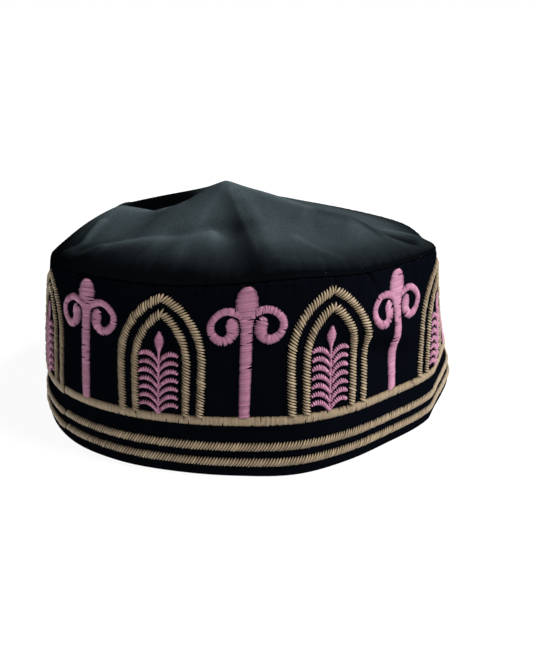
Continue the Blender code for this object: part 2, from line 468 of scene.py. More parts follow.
# %% Close the crown's middle
def close_middle(piece, height):
    """Fans the last ring of a spun sheet to one point in the middle."""
    sheet = bmesh.new()
    sheet.from_mesh(piece.data)
    sheet.verts.ensure_lookup_table()
    last = sheet.verts[-CROWN_COLUMNS:]
    middle = sheet.verts.new((0.0, 0.0, height * MM))
    for one, two in zip(last, last[1:] + last[:1]):
        sheet.faces.new((one, two, middle))
    bmesh.ops.recalc_face_normals(sheet, faces=sheet.faces)
    if sum(face.normal.z for face in sheet.faces) < 0:
        bmesh.ops.reverse_faces(sheet, faces=sheet.faces)
    sheet.to_mesh(piece.data)
    sheet.free()
    piece.data.shade_smooth()


middle_height = crown_height(np.zeros(1), np.zeros(1), np.array([seam_reach(0.0)]))[0]
close_middle(crown, middle_height)
print("the crown's middle is", round(middle_height, 1), "mm up")

# %% [markdown]
# Each point of the crown notes how much painted light it gets: a painted highlight on top and on
# crests, painted shade near the seam, on steep cloth, down in the folds and in a few hollows. The
# cloth's colour follows it. Shade painted by hand would stay behind when a fold is moved, and a rule
# moves with it.

# %% Painted light and shade of the crown
# painted light and shade of the crown's cloth colour: lighter where it faces up, darker near the seam
PAINTED_LIGHT_FROM_SEAM = 23.0
PAINTED_LIGHT_UPRIGHT = 0.72
PLAIN_PAINTED_LIGHT = 0.80
LEAST_PAINTED_LIGHT = 0.10
FOLD_RELIEF = 0.40
FOLD_PAINTED_LIGHT = 0.35
CREST_HIGHLIGHT = 0.12
RELIEF_SPAN = 5
HOLLOW_EDGE = 3
# where painted shade darkens the cloth: the line on the plan, how far it reaches, how much painted light
# it takes away
SHADED_HOLLOWS = (
    (((-32.0, 6.0), (-52.0, 21.0)), 13.0, 1.0),
    (((10.0, -39.0), (18.0, -45.5), (28.0, -54.0), (37.0, -61.0)), 4.5, 0.55),
    (((-28.0, -48.0), (-31.0, -60.0), (-33.0, -72.0)), 7.0, 0.45),
)


def blurred(heights):
    """Heights of the crown's rings, evened out over a few rings and columns."""
    steps = range(-RELIEF_SPAN, RELIEF_SPAN + 1)
    rings = np.arange(len(heights))
    heights = sum(heights[np.clip(rings + step, 0, rings[-1])] for step in steps) / len(steps)
    return sum(np.roll(heights, step, axis=1) for step in steps) / len(steps)


def painted_light_and_shade(piece, rows):
    """How much painted light each point of the cloth gets: most on top and on crests, least in folds."""
    normals = np.empty(len(piece.data.vertices) * 3, np.float32)
    piece.data.vertices.foreach_get("normal", normals)
    upward = np.clip((normals[2::3] - PAINTED_LIGHT_UPRIGHT) / (1 - PAINTED_LIGHT_UPRIGHT), 0, 1)
    x, y, heights = np.moveaxis(rows, -1, 0)
    reach = np.hypot(x, y)
    share = np.clip((reach[0] - reach) / PAINTED_LIGHT_FROM_SEAM, 0, 1)
    from_seam = LEAST_PAINTED_LIGHT + (1 - LEAST_PAINTED_LIGHT) * share ** 2 * (3 - 2 * share)
    relief = np.clip((heights - blurred(heights)) / FOLD_RELIEF, -1, 1)
    # painted shade near the seam and in folds, painted highlight on crests and on cloth that faces up
    painted_light_by_shape = from_seam * (PLAIN_PAINTED_LIGHT + FOLD_PAINTED_LIGHT * relief)
    worn_and_painted_light = upward[:-1].reshape(x.shape) * painted_light_by_shape + CREST_HIGHLIGHT * np.maximum(relief, 0)
    # painted shade along the lines of the hollows
    for line, hollow_reach, strength in SHADED_HOLLOWS:
        away, _ = beside_line(line, x, y)
        worn_and_painted_light = worn_and_painted_light * (1 - strength * np.exp(-(away / hollow_reach) ** HOLLOW_EDGE))
    return np.append(worn_and_painted_light, worn_and_painted_light[-1].mean())


# each point of the crown notes its painted light and shade, and the cloth's colour follows it
worn_and_painted_light = painted_light_and_shade(crown, crown_rows)
field = crown.data.attributes.new("worn_and_painted_light", "FLOAT", "POINT")
field.data.foreach_set("value", worn_and_painted_light.astype(np.float32))
wall = crown.modifiers.new("cloth", "SOLIDIFY")
wall.thickness = CROWN_CLOTH * MM
wall.offset = -1.0
print("wear runs from", round(float(worn_and_painted_light.min()), 2), "to", round(float(worn_and_painted_light.max()), 2))

# %% [markdown]
# ## The embroidery
#
# Machine embroidery is satin stitch: threads laid side by side across a line, so close that they
# hide the cloth. Every shape on this band is such a line with a width that changes along it, which
# makes one helper enough: it takes a path and its widths and gives back the two ends of every
# thread. The slant is the angle between the thread and the path. Some threads of dense satin stop
# short of the edge, which leaves the fine dark slits that one sees in it.

# %% Satin stitch
draw = np.random.default_rng(7)
SHORT_BY = (0.08, 0.45)
EVEN = 0.04
LOOK_AHEAD = 0.4


def satin(path, widths, pitch, slant=90.0, ragged=EVEN, short=0.0):
    """Ends of the threads across a path on the flat strip, as an array of (thread, end, 2).

    Short is the share of the threads that stop part of the way across, on one side or the other.
    """
    path = np.asarray(path, float)
    widths = np.broadcast_to(np.asarray(widths, float), len(path))
    steps = np.hypot(*np.diff(path, axis=0).T)
    along = np.concatenate(([0.0], np.cumsum(steps)))
    count = max(2, round(along[-1] / pitch))
    places = (np.arange(count) + 0.5) * along[-1] / count

    def on_path(where):
        return np.column_stack([np.interp(where, along, path[:, i]) for i in (0, 1)])

    ahead = on_path(places + LOOK_AHEAD * pitch) - on_path(places - LOOK_AHEAD * pitch)
    turned = np.arctan2(ahead[:, 1], ahead[:, 0]) + np.radians(slant)
    reach = np.interp(places, along, widths) / 2 / abs(np.sin(np.radians(slant)))
    reach = reach * (1 + ragged * draw.standard_normal(count))
    half = np.column_stack((np.cos(turned), np.sin(turned))) * reach[:, None]
    middle = on_path(places)
    missing = np.where(draw.random(count) < short, 2 * draw.uniform(*SHORT_BY, count), 0.0)[:, None]
    at_start = draw.random(count)[:, None] < 0.5
    start = middle - half * (1 - missing * at_start)
    end = middle + half * (1 - missing * ~at_start)
    return np.stack((start, end), axis=1)


def mirrored(path):
    """The same path left for right."""
    return np.asarray(path) * (-1, 1)


def moved(threads, along):
    """The same threads further along the strip."""
    return threads + np.array((along, 0.0))


def smooth_path(points, per_step=8):
    """A smooth open curve through a few points, each with any number of values."""
    points = np.asarray(points, float)
    padded = np.concatenate((2 * points[:1] - points[1:2], points, 2 * points[-1:] - points[-2:-1]))
    shares = np.linspace(0, 1, per_step, endpoint=False)[:, None]
    pieces = []
    for a, b, c, d in zip(padded, padded[1:], padded[2:], padded[3:]):
        pieces.append(0.5 * (2 * b + (c - a) * shares + (2 * a - 5 * b + 4 * c - d) * shares ** 2
                             + (3 * b - a - 3 * c + d) * shares ** 3))
    return np.concatenate(pieces + [points[-1:]])


print("a short thread leaves out", SHORT_BY[0], "to", SHORT_BY[1], "of its length")

# %% [markdown]
# Each thread is then laid on the band: its two ends go on the cloth, and between them it stands a
# little proud. Only its middle, its direction, the way the cloth faces there, its length, its
# thickness and two random shades are stored, as attributes of one point.

# %% From flat threads to points on the band
BAND_PATTERN_HEIGHT = 73.0
UNEVEN_THICKNESS = 0.10
UNEVEN_SHADE = 0.22
THREAD_LIFT = 0.12
NEARBY = 0.4


def on_band(flat):
    """Points of the flat strip (length along the rim, height) on the band's outside."""
    angle = angle_at(flat[..., 0])
    height = flat[..., 1] / BAND_PATTERN_HEIGHT * around(angle, HEIGHT)
    return placed(angle, band_outside(angle, height), height)


def point_cloud(name, points, facts):
    """An object with one vertex at each point, and one attribute for each fact."""
    mesh = bpy.data.meshes.new(name)
    mesh.from_pydata((points * MM).tolist(), [], [])
    for fact, values in facts.items():
        kind, field = ("FLOAT_VECTOR", "vector") if values.ndim == 2 else ("FLOAT", "value")
        attribute = mesh.attributes.new(fact, kind, "POINT")
        attribute.data.foreach_set(field, values.astype(np.float32).ravel())
    return added(name, mesh)


def thread_points(name, threads, thickness, lift=THREAD_LIFT):
    """A mesh of bare points, one for each thread, with what the stitch tree needs to know."""
    ends = on_band(threads)
    middle = threads.mean(axis=1)
    beside = on_band(middle + (NEARBY, 0.0)) - on_band(middle - (NEARBY, 0.0))
    above = on_band(middle + (0.0, NEARBY)) - on_band(middle - (0.0, NEARBY))
    outward = np.cross(beside, above)
    outward /= np.linalg.norm(outward, axis=1, keepdims=True)
    direction = ends[:, 1] - ends[:, 0]
    length = np.linalg.norm(direction, axis=1)
    count = len(threads)
    facts = {
        "direction": direction / length[:, None],
        "outward": outward,
        "length": length * MM,
        "thickness": thickness * (1 + UNEVEN_THICKNESS * draw.standard_normal(count)) * MM,
        "tint": draw.random(count),
        "shade": 1 - UNEVEN_SHADE * draw.random(count),
    }
    return point_cloud(name, on_band(middle) + outward * lift, facts)


print("threads are laid", THREAD_LIFT, "mm above the cloth")

# %% [markdown]
# A Geometry Nodes tree turns the points into thread. It makes one short strand and puts it on every
# point, turned and stretched by the attributes. Thousands of threads modelled one by one would be
# slow to make and hard to change. The same tree sews every piece, with its own bow, taper and colour
# of thread. First come three helpers: a tree with named sockets, a sum, and an attribute to read.

# %% Helpers for node trees
def new_tree(name, kind, inputs, outputs):
    """A tree with inputs (name, kind, usual value) and outputs (name, kind), and its two end nodes."""
    tree = bpy.data.node_groups.new(name, kind)
    for label, socket_kind, value in inputs:
        socket = tree.interface.new_socket(label, in_out="INPUT", socket_type="NodeSocket" + socket_kind)
        if value is not None:
            socket.default_value = value
    for label, socket_kind in outputs:
        tree.interface.new_socket(label, in_out="OUTPUT", socket_type="NodeSocket" + socket_kind)
    return tree, tree.nodes.new("NodeGroupInput"), tree.nodes.new("NodeGroupOutput")


def maths(tree, operation, *values):
    """A Math node of either kind of tree, fed with numbers or sockets."""
    node = tree.nodes.new("ShaderNodeMath")
    node.operation = operation
    for socket, value in zip(node.inputs, values):
        if isinstance(value, (int, float)):
            socket.default_value = value
        else:
            tree.links.new(value, socket)
    return node.outputs[0]


def named(tree, name, kind):
    """A named attribute of the points, for a geometry tree."""
    node = tree.nodes.new("GeometryNodeInputNamedAttribute")
    node.data_type = kind
    node.inputs["Name"].default_value = name
    return next(socket for socket in node.outputs if socket.enabled and socket.name == "Attribute")


# %% [markdown]
# The strand is a straight line, swept with a circle of few sides because there are thousands of
# strands. A parabola that is 1 in the middle and 0 at both ends bows it up and makes its ends thin.

# %% One bowed strand
STRAND_STEPS = 7
STRAND_SIDES = 6
THIN_END = 0.08
BOW = 0.5
TAPER = 0.4


def bowed_strand(tree, given):
    """A strand one unit long and one thick, with a note of how far each side is turned up."""
    add = tree.nodes.new
    link = tree.links.new
    line = add("GeometryNodeCurvePrimitiveLine")
    line.inputs["Start"].default_value = (-0.5, 0, 0)
    line.inputs["End"].default_value = (0.5, 0, 0)
    steps = add("GeometryNodeResampleCurve")
    steps.inputs["Count"].default_value = STRAND_STEPS
    link(line.outputs["Curve"], steps.inputs["Curve"])

    split = add("ShaderNodeSeparateXYZ")
    link(add("GeometryNodeInputPosition").outputs["Position"], split.inputs["Vector"])
    squared = maths(tree, "MULTIPLY", split.outputs["X"], split.outputs["X"])
    from_end = maths(tree, "MULTIPLY_ADD", squared, -4.0, 1.0)
    full = maths(tree, "MAXIMUM", from_end, THIN_END)
    thinned = add("GeometryNodeSetCurveRadius")
    link(steps.outputs["Curve"], thinned.inputs["Curve"])
    link(maths(tree, "POWER", full, given.outputs["Taper"]), thinned.inputs["Radius"])

    section = add("GeometryNodeCurvePrimitiveCircle")
    section.inputs["Radius"].default_value = 0.5
    link(given.outputs["Sides"], section.inputs["Resolution"])
    strand = add("GeometryNodeCurveToMesh")
    strand.inputs["Fill Caps"].default_value = True
    link(thinned.outputs["Curve"], strand.inputs["Curve"])
    link(section.outputs["Curve"], strand.inputs["Profile Curve"])
    link(add("GeometryNodeInputRadius").outputs["Radius"], strand.inputs["Scale"])

    turned_up = add("GeometryNodeStoreNamedAttribute")
    turned_up.data_type = "FLOAT"
    turned_up.domain = "POINT"
    turned_up.inputs["Name"].default_value = "turned_up"
    link(strand.outputs["Mesh"], turned_up.inputs["Geometry"])
    link(maths(tree, "MULTIPLY", split.outputs["Z"], 2.0), turned_up.inputs["Value"])
    lift = add("ShaderNodeCombineXYZ")
    link(maths(tree, "MULTIPLY", from_end, given.outputs["Bow"]), lift.inputs["Z"])
    bowed = add("GeometryNodeSetPosition")
    link(turned_up.outputs["Geometry"], bowed.inputs["Geometry"])
    link(lift.outputs["Vector"], bowed.inputs["Offset"])
    soft = add("GeometryNodeSetShadeSmooth")
    link(bowed.outputs["Geometry"], soft.inputs["Geometry"])
    return soft.outputs["Geometry"]


# %% [markdown]
# Each point carries one strand as an instance, which costs next to nothing while it is worked on. At
# the end Realize Instances makes them a plain mesh, since the finished piece has to stand alone.

# %% The stitch tree
def laid_thread(tree, given, strand):
    """The strand on every point, as plain geometry with its material."""
    add = tree.nodes.new
    link = tree.links.new
    turn = add("FunctionNodeAxesToRotation")
    turn.primary_axis = "X"
    turn.secondary_axis = "Z"
    link(named(tree, "direction", "FLOAT_VECTOR"), turn.inputs["Primary Axis"])
    link(named(tree, "outward", "FLOAT_VECTOR"), turn.inputs["Secondary Axis"])
    size = add("ShaderNodeCombineXYZ")
    thickness = named(tree, "thickness", "FLOAT")
    link(named(tree, "length", "FLOAT"), size.inputs["X"])
    link(thickness, size.inputs["Y"])
    link(thickness, size.inputs["Z"])
    laid = add("GeometryNodeInstanceOnPoints")
    link(given.outputs["Points"], laid.inputs["Points"])
    link(strand, laid.inputs["Instance"])
    link(turn.outputs["Rotation"], laid.inputs["Rotation"])
    link(size.outputs["Vector"], laid.inputs["Scale"])
    real = add("GeometryNodeRealizeInstances")
    link(laid.outputs["Instances"], real.inputs["Geometry"])
    coloured = add("GeometryNodeSetMaterial")
    link(real.outputs["Geometry"], coloured.inputs["Geometry"])
    link(given.outputs["Thread"], coloured.inputs["Material"])
    return coloured.outputs["Geometry"]


STITCHES, stitch_inputs, stitch_output = new_tree(
    "Laid thread", "GeometryNodeTree",
    (("Points", "Geometry", None), ("Bow", "Float", BOW), ("Taper", "Float", TAPER),
     ("Sides", "Int", STRAND_SIDES), ("Thread", "Material", None)),
    (("Stitches", "Geometry"),))
one_strand = bowed_strand(STITCHES, stitch_inputs)
STITCHES.links.new(laid_thread(STITCHES, stitch_inputs, one_strand), stitch_output.inputs["Stitches"])
print("the stitch tree has", len(STITCHES.nodes), "nodes")


# %% Sewing a piece
def sewn(points, thread, bow=BOW, taper=TAPER):
    """Runs the stitch tree on a cloud of points and gives the thread as a plain mesh."""
    work = points.modifiers.new("stitches", "NODES")
    work.node_group = STITCHES
    wanted = {"Bow": bow, "Taper": taper, "Sides": STRAND_SIDES, "Thread": thread}
    for socket in STITCHES.interface.items_tree:
        if socket.item_type == "SOCKET" and socket.name in wanted:
            work[socket.identifier] = wanted[socket.name]
    ready = points.evaluated_get(bpy.context.evaluated_depsgraph_get())
    mesh = bpy.data.meshes.new_from_object(ready)
    name = points.name
    bpy.data.objects.remove(points, do_unlink=True)
    mesh.name = name
    print(name, "has", len(mesh.polygons), "faces")
    return added(name, mesh)


# %% [markdown]
# ## Cloth and thread finishes
#
# Black cotton is never flat black: the weave gives it a grain, washing leaves it a little uneven and
# it picks up lint. Those three effects are one shader group, which both cloths use with their own
# values, and which also takes in the painted light and shade that the crown notes at its points.
# Thread is uneven too, but its shade changes from stitch to stitch, and it gets painted shade between
# two threads, where hardly any light gets in.

# %% Helpers for materials
def noise(tree, place, scale, detail, roughness):
    """Cloudy values from 0 to 1."""
    node = tree.nodes.new("ShaderNodeTexNoise")
    tree.links.new(place, node.inputs["Vector"])
    node.inputs["Scale"].default_value = scale
    node.inputs["Detail"].default_value = detail
    node.inputs["Roughness"].default_value = roughness
    return node.outputs["Fac"]


def mixed(tree, share, one, two):
    """A colour between two others."""
    node = tree.nodes.new("ShaderNodeMix")
    node.data_type = "RGBA"
    for value, socket in zip((share, one, two), (node.inputs[0], node.inputs[6], node.inputs[7])):
        if hasattr(value, "links"):
            tree.links.new(value, socket)
        else:
            socket.default_value = value
    return node.outputs[2]


def noted(tree, name):
    """What the mesh notes at each point under this name, for a material."""
    node = tree.nodes.new("ShaderNodeAttribute")
    node.attribute_name = name
    return node.outputs["Fac"]


def bumped(tree, height, strength, distance):
    """A surface direction that follows small heights."""
    node = tree.nodes.new("ShaderNodeBump")
    node.inputs["Strength"].default_value = strength
    node.inputs["Distance"].default_value = distance
    tree.links.new(height, node.inputs["Height"])
    return node.outputs["Normal"]


def new_material(name):
    """A material, its tree and its shader."""
    material = bpy.data.materials.new(name)
    material.use_nodes = True
    return material, material.node_tree, material.node_tree.nodes["Principled BSDF"]


# %% Shader group for cotton
THREADS_IN_10_MM = 30.0
WEAVE_DEPTH = 0.35
# each noise's scale, detail and roughness
SLUB = (1500.0, 3.0, 0.7)
CLOUD = (45.0, 4.0, 0.6)
LINT = (2000.0, 1.0, 0.5)
LINT_RARE = 0.80
LINT_GREY = (0.35, 0.36, 0.36, 1)
# what each noise adds to the wear, and how much of the worn colour shows at least and besides
CLOUD_WEAR = 1.2
SLUB_WEAR = 2.6
NO_WEAR = -1.4
LEAST_FADING = 0.55
MORE_FADING = 0.5
LEAST_ROUGH = 0.75
MORE_ROUGH = 0.2


def cotton_group():
    """Weave height, worn colour with the piece's painted light and shade, and roughness of plain cotton.
    """
    tree, given, result = new_tree(
        "Cotton", "ShaderNodeTree",
        (("Place", "Vector", None), ("Colour", "Color", (0.02, 0.02, 0.02, 1)),
         ("Wear and painted light colour", "Color", (0.04, 0.04, 0.04, 1)), ("Threads in 10 mm", "Float", THREADS_IN_10_MM),
         ("Lint", "Float", 0.0), ("Painted light", "Float", 1.0)),
        (("Colour", "Color"), ("Height", "Float"), ("Roughness", "Float")))
    place = given.outputs["Place"]
    split = tree.nodes.new("ShaderNodeSeparateXYZ")
    tree.links.new(place, split.inputs["Vector"])
    per_metre = maths(tree, "MULTIPLY", given.outputs["Threads in 10 mm"], 100 * 2 * np.pi)
    across = maths(tree, "SINE", maths(tree, "MULTIPLY", split.outputs["X"], per_metre))
    along = maths(tree, "SINE", maths(tree, "MULTIPLY", split.outputs["Y"], per_metre))
    slub = noise(tree, place, *SLUB)
    cloud = noise(tree, place, *CLOUD)
    height = maths(tree, "MULTIPLY_ADD", maths(tree, "MULTIPLY", across, along), WEAVE_DEPTH, slub)
    worn_and_painted_light = maths(tree, "MULTIPLY_ADD", slub, SLUB_WEAR, NO_WEAR)
    worn_and_painted_light = maths(tree, "MULTIPLY_ADD", cloud, CLOUD_WEAR, worn_and_painted_light)
    worn_and_painted_light = maths(tree, "MINIMUM", maths(tree, "MAXIMUM", worn_and_painted_light, 0.0), 1.0)
    worn_and_painted_light = maths(tree, "MULTIPLY_ADD", worn_and_painted_light, MORE_FADING, LEAST_FADING)
    # on the crown this input brings in the painted light and shade that its points note
    worn_and_painted_light = maths(tree, "MULTIPLY", worn_and_painted_light, given.outputs["Painted light"])
    base = mixed(tree, worn_and_painted_light, given.outputs["Colour"], given.outputs["Wear and painted light colour"])
    speck = maths(tree, "GREATER_THAN", noise(tree, place, *LINT), LINT_RARE)
    speck = maths(tree, "MULTIPLY", speck, given.outputs["Lint"])
    tree.links.new(mixed(tree, speck, base, LINT_GREY), result.inputs["Colour"])
    tree.links.new(height, result.inputs["Height"])
    rough = maths(tree, "MULTIPLY_ADD", slub, MORE_ROUGH, LEAST_ROUGH)
    tree.links.new(rough, result.inputs["Roughness"])
    return tree


COTTON = cotton_group()
print("the cotton group has", len(COTTON.nodes), "nodes")


# %% [markdown]
# The band's cotton is new and nearly black. The crown's turns grey with the painted light that its
# points note. Both are quite without shine, so that the lamp draws no gloss on them.

# %% Cotton for the band and the crown
# strength, and height in metres
COTTON_BUMP = (0.5, 0.00012)


def cotton(name, colour, worn_and_painted_light, lint=0.0, shows_painted_light=False):
    """Matt cotton; if asked, the painted light and shade that the piece notes at its points say how much
    of the worn colour shows.
    """
    material, tree, shader = new_material(name)
    cloth = tree.nodes.new("ShaderNodeGroup")
    cloth.node_tree = COTTON
    cloth.inputs["Colour"].default_value = (*colour, 1)
    cloth.inputs["Wear and painted light colour"].default_value = (*worn_and_painted_light, 1)
    cloth.inputs["Lint"].default_value = lint
    place = tree.nodes.new("ShaderNodeTexCoord")
    tree.links.new(place.outputs["Object"], cloth.inputs["Place"])
    if shows_painted_light:
        tree.links.new(noted(tree, "worn_and_painted_light"), cloth.inputs["Painted light"])
    tree.links.new(cloth.outputs["Colour"], shader.inputs["Base Color"])
    tree.links.new(cloth.outputs["Roughness"], shader.inputs["Roughness"])
    tree.links.new(bumped(tree, cloth.outputs["Height"], *COTTON_BUMP), shader.inputs["Normal"])
    shader.inputs["Specular IOR Level"].default_value = 0.0
    return material


band_cotton = cotton("black band cotton", (0.0008, 0.0012, 0.0026), (0.0024, 0.0032, 0.0052))
# the crown's grey second colour is painted light, shown where its points note it
crown_cotton = cotton("black crown cotton", (0.0022, 0.0029, 0.0036), (0.067, 0.089, 0.098),
                      lint=0.25, shows_painted_light=True)
band.data.materials.append(band_cotton)
crown.data.materials.append(crown_cotton)
print("cloths:", band_cotton.name, "and", crown_cotton.name)

# %% [markdown]
# From the camera a thread is only a pixel or two wide, so the light alone hardly draws the dark
# line between two of them. So the sides of a thread that are turned down, next to its neighbour,
# get painted shade, by the attribute that the strand carries.

# %% Thread materials
FIBRE = (2600.0, 2.0, 0.7)
THREAD_BUMP = (0.4, 0.00006)
FIBRE_SHARE = 0.5
TINT_SHARE = 0.6
DARK_TURN = -0.3
LIGHT_TURN = 0.8
SHADE_BETWEEN_THREADS = 0.3
DEEP_SHADE = 0.1


def thread_material(name, dark, light, roughness, shine=0.4):
    """Shiny thread whose shade changes a little from stitch to stitch, with painted shade on its sides
    that turn down.
    """
    material, tree, shader = new_material(name)
    place = tree.nodes.new("ShaderNodeTexCoord")
    fibre = noise(tree, place.outputs["Object"], *FIBRE)
    tint = maths(tree, "MULTIPLY", noted(tree, "tint"), TINT_SHARE)
    share = maths(tree, "MULTIPLY_ADD", fibre, FIBRE_SHARE, tint)
    plain = mixed(tree, share, (*dark, 1), (*light, 1))
    # painted shade on the sides of a strand that turn down, next to its neighbour
    lit = tree.nodes.new("ShaderNodeMapRange")
    lit.interpolation_type = "SMOOTHSTEP"
    lit.inputs["From Min"].default_value = DARK_TURN
    lit.inputs["From Max"].default_value = LIGHT_TURN
    lit.inputs["To Min"].default_value = SHADE_BETWEEN_THREADS
    tree.links.new(noted(tree, "turned_up"), lit.inputs["Value"])
    clear = maths(tree, "MULTIPLY", lit.outputs["Result"], noted(tree, "shade"))
    deep = tuple(channel * DEEP_SHADE for channel in dark)
    tree.links.new(mixed(tree, clear, (*deep, 1), plain), shader.inputs["Base Color"])
    tree.links.new(bumped(tree, fibre, *THREAD_BUMP), shader.inputs["Normal"])
    shader.inputs["Roughness"].default_value = roughness
    shader.inputs["Specular IOR Level"].default_value = shine
    return material


TAN_THREAD = thread_material("tan thread", (0.32, 0.235, 0.145), (0.52, 0.395, 0.25), 0.45)
PINK_THREAD = thread_material("pink thread", (0.46, 0.175, 0.28), (0.68, 0.31, 0.47), 0.42)
BLACK_THREAD = thread_material("black thread", (0.004, 0.0045, 0.006), (0.012, 0.013, 0.016), 0.9,
                               shine=0.0)
print("threads:", ", ".join(thread.name for thread in (TAN_THREAD, PINK_THREAD, BLACK_THREAD)))

# %% [markdown]
# ## Three stripes round the foot
#
# The stripes are the simplest satin lines. The top one is packed dense with threads straight across.
# The two below it are looser and slanted, which gives them toothed edges. The strip was sewn into a
# ring at the left, where its two ends leave a small gap and do not quite meet.

# %% Sew the stripes
DENSE = 0.42
LOOSE = 1.12
DENSE_THREAD = 0.58
LOOSE_THREAD = 0.92
LOOSE_TAPER = 0.55
SHORT_SHARE = 0.14
LEAN = 60.0
STRIPE_WIDTH = 3.6
STRIPE_RAGGED = 0.05
TOP_STRIPE_HEIGHT = 22.9
LOW_STRIPE_HEIGHTS = (12.5, 6.1)
# where the strip's two ends were joined, how far apart they are and how much they miss each other
JOIN = -120.0
JOIN_GAP = 1.4
JOIN_STEP = 0.8
strip_path = np.array(((JOIN + JOIN_GAP / 2, JOIN_STEP / 2),
                       (JOIN + PERIMETER - JOIN_GAP / 2, -JOIN_STEP / 2)))


def stripe(height, pitch, slant, short=0.0):
    """Threads of one stripe, all the way round."""
    return satin(strip_path + (0.0, height), STRIPE_WIDTH, pitch, slant, STRIPE_RAGGED, short)


dense_stripe = stripe(TOP_STRIPE_HEIGHT, DENSE, 90.0, SHORT_SHARE / 2)
loose_stripes = np.concatenate([stripe(height, LOOSE, LEAN) for height in LOW_STRIPE_HEIGHTS])
top_stripe = sewn(thread_points("top_stripe", dense_stripe, DENSE_THREAD), TAN_THREAD)
loose_points = thread_points("low_stripes", loose_stripes, LOOSE_THREAD)
low_stripes = sewn(loose_points, TAN_THREAD, taper=LOOSE_TAPER)

# %% [markdown]
# ## Nine pointed arches
#
# Each arch is two nested lines that rise from the top stripe, bow out a little and meet in a point,
# like a prayer niche. The two arcs of a point are circles with their centres beyond the axis. One
# machine pass goes up the left leg and down the right one, so the threads keep one slant to the path.

# %% Sew the arches
REPEATS = 9
PATTERN = PERIMETER / REPEATS
FIRST_ARCH = -10.05
FOOT = TOP_STRIPE_HEIGHT + STRIPE_WIDTH / 2
ARCH_DRIFT = 0.6
LEG_LEAN = 62.0
LEG_STEPS = 12
ARC_STEPS = 24
ARCH_RAGGED = 0.08
# half width at the foot, at the springing, height of the springing, height of the point, line width
ARCH_LINES = (
    (15.0, 15.7, 46.0, 68.8, 3.3),
    (9.6, 10.0, 45.0, 63.3, 3.2),
)


def arch_path(foot, spring, spring_height, point_height):
    """The left leg of an arch from its foot to its point, then the right one down again."""
    rise = point_height - spring_height
    beyond = (rise ** 2 - spring ** 2) / (2 * spring)
    radius = spring + beyond
    turns = np.linspace(0, np.arctan2(rise, beyond), ARC_STEPS)
    heights = np.linspace(FOOT, spring_height, LEG_STEPS)[:-1]
    share = (heights - FOOT) / (spring_height - FOOT)
    leg = np.column_stack((-(foot + (spring - foot) * np.sin(share * np.pi / 2)), heights))
    arc = np.column_stack((beyond - radius * np.cos(turns), spring_height + radius * np.sin(turns)))
    left = np.concatenate((leg, arc))
    return np.concatenate((left, mirrored(left)[-2::-1]))


arch_threads = []
for repeat in range(REPEATS):
    axis = FIRST_ARCH + PATTERN * repeat
    for foot, spring, spring_height, point_height, width in ARCH_LINES:
        path = arch_path(foot, spring, spring_height, point_height)
        line_threads = satin(path, width, LOOSE, LEG_LEAN, ARCH_RAGGED)
        arch_threads.append(moved(line_threads, axis + ARCH_DRIFT))
arch_points = thread_points("arches", np.concatenate(arch_threads), LOOSE_THREAD)
arches = sewn(arch_points, TAN_THREAD, taper=LOOSE_TAPER)

# %% [markdown]
# ## Nine columns between them
#
# A column is a straight stem, an egg-shaped knob on top and a volute curling down on either side.
# The volute is drawn by its middle line and how wide the satin is at each point of it. The heads of
# the columns have drifted a little, each by its own amount, as they do when a strip is sewn.

# %% Sew the columns
# each shape's rows: how far across, how high, how wide
STEM = ((0.0, FOOT, 4.0), (0.0, 45.0, 4.3), (0.0, 60.0, 4.6))
KNOB = (
    (0.0, 59.2, 4.6), (0.0, 60.7, 5.6), (0.0, 62.4, 7.0), (0.0, 64.1, 7.8), (0.0, 65.8, 8.2),
    (0.0, 68.1, 7.9), (0.0, 69.8, 6.9), (0.0, 71.1, 4.9), (0.0, 71.9, 2.4),
)
VOLUTE = (
    (1.6, 61.9, 2.6), (4.45, 63.4, 2.8), (7.5, 63.9, 2.7), (10.8, 62.5, 2.6), (13.0, 59.7, 2.8),
    (12.75, 56.6, 3.0), (10.6, 54.1, 3.2), (7.7, 53.5, 3.4), (5.5, 55.2, 4.0), (4.9, 57.4, 4.6),
    (5.5, 59.7, 4.4), (6.4, 61.2, 2.0),
)
OTHER_VOLUTE = [(-across, height, width) for across, height, width in VOLUTE]
COLUMN_SLANTS = ((STEM, 95.0), (KNOB, 93.0), (VOLUTE, 90.0), (OTHER_VOLUTE, 90.0))
# how far the head of each column has drifted along the strip
HEAD_DRIFT = (-0.3, 0.2, -0.1, 0.4, 0.0, -0.4, 0.3, 0.1, 0.75)


def satin_shape(rows, pitch, slant=90.0, short=SHORT_SHARE):
    """Satin along rows of (across, height, width)."""
    line = smooth_path(rows)
    return satin(line[:, :2], line[:, 2], pitch, slant, short=short)


def leaning(threads, drift):
    """Threads of a column, drifting more and more along the strip from the foot to the head."""
    share = np.clip((threads[..., 1] - FOOT) / (STEM[-1][1] - FOOT), 0, 1)
    return threads + np.stack((drift * share, np.zeros_like(share)), axis=-1)


column_threads = []
for repeat, drift in enumerate(HEAD_DRIFT):
    column = np.concatenate([satin_shape(rows, DENSE, slant) for rows, slant in COLUMN_SLANTS])
    column_threads.append(moved(leaning(column, drift), FIRST_ARCH + PATTERN * (repeat + 0.5)))
columns = sewn(thread_points("columns", np.concatenate(column_threads), DENSE_THREAD), PINK_THREAD)

# %% [markdown]
# ## A leafy sprig in every arch
#
# Seven pairs of small curved leaves climb a thin stem to an almond-shaped bud. One leaf is drawn,
# and loops mirror it and stack it up the stem, so all of them change with that one drawing.

# %% Sew the sprigs
LEAF_PAIRS = 7
LEAF_TOP = 48.05
LEAF_STEP = 3.28
LEAF_PITCH = 0.82
LEAF_THREAD = 0.88
LEAF_TAPER = 0.5
